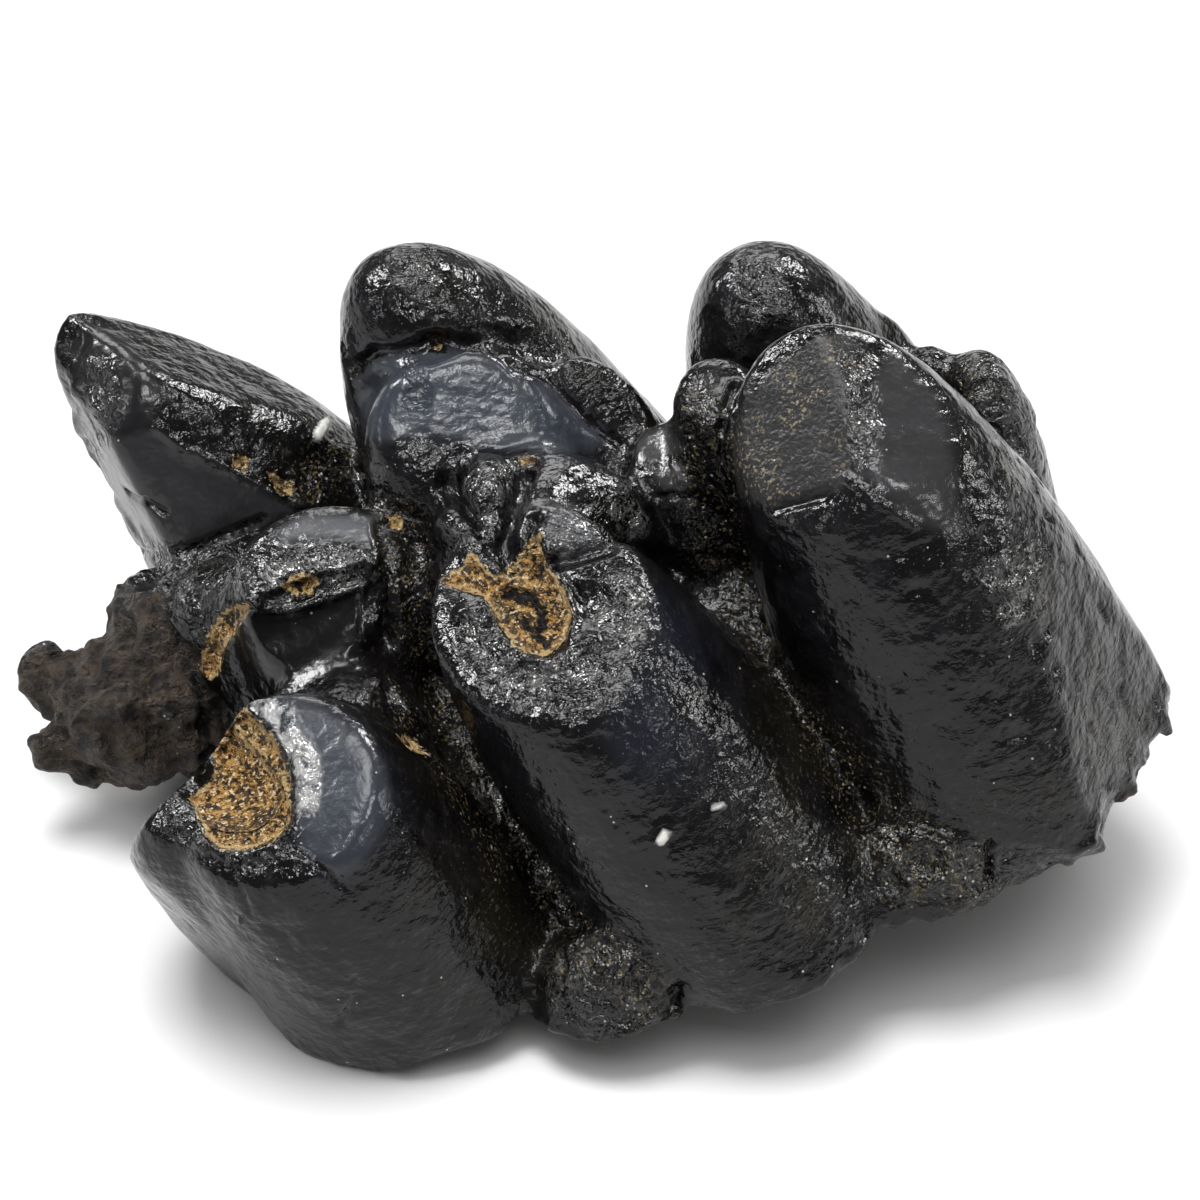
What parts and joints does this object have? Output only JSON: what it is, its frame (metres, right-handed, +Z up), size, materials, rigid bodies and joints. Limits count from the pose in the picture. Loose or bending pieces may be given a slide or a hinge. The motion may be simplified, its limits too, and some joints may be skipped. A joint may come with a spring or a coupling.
{
  "type": "fossil mastodon tooth",
  "caption": "Black fossil mastodon molar lying on its broken root: blunt cusps in rows, worn crowns with dentine basins, and a rough brown stub at the broken front end.",
  "frame": {"origin": "centre of the footprint box, on the table that the tooth lies on", "axes": "+X along the tooth from the broken front end to the heel, +Y from the near worn cusps to the far tall cusps, +Z up"},
  "size_m": [0.1234, 0.0906, 0.0696],
  "materials": {
    "fossil_enamel": "glossy near-black enamel, with golden-brown dentine where it is worn or broken"
  },
  "bodies": {
    "root": {"tooth": "fossil_enamel"}
  },
  "joints": []
}
